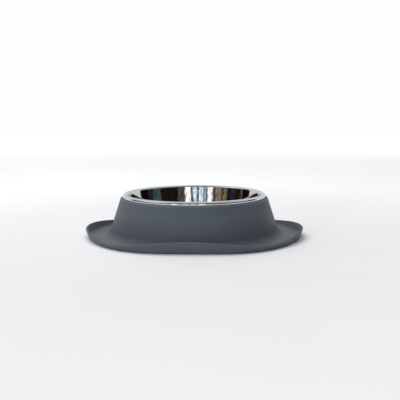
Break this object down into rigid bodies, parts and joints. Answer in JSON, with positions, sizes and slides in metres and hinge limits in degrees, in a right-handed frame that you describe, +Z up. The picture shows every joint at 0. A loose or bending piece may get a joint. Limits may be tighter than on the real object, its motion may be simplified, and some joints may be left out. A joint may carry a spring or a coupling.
{
  "type": "pet feeder",
  "caption": "Low silicone pet feeder: an oval spill mat with a wavy upturned lip and a round holder, in which a stainless-steel bowl hangs by its rolled rim and lifts out.",
  "frame": {"origin": "on the bowl's axis, in the plane that the mat rests on", "axes": "+X along the mat's long side, -Y the front, +Z up"},
  "size_m": [0.2518, 0.2118, 0.05],
  "materials": {
    "silicone": "matt slate-grey moulded silicone with a fine satin texture",
    "steel": "stainless steel, mirror polished inside and on the rolled rim, satin outside"
  },
  "bodies": {
    "feeder": {"silicone_feeder": "silicone"},
    "bowl": {"steel_bowl": "steel"}
  },
  "joints": [
    {"name": "bowl_lift", "type": "slide", "parent": "feeder", "child": "bowl", "axis": [0, 0, 1], "range_m": [0, 0.055]}
  ]
}
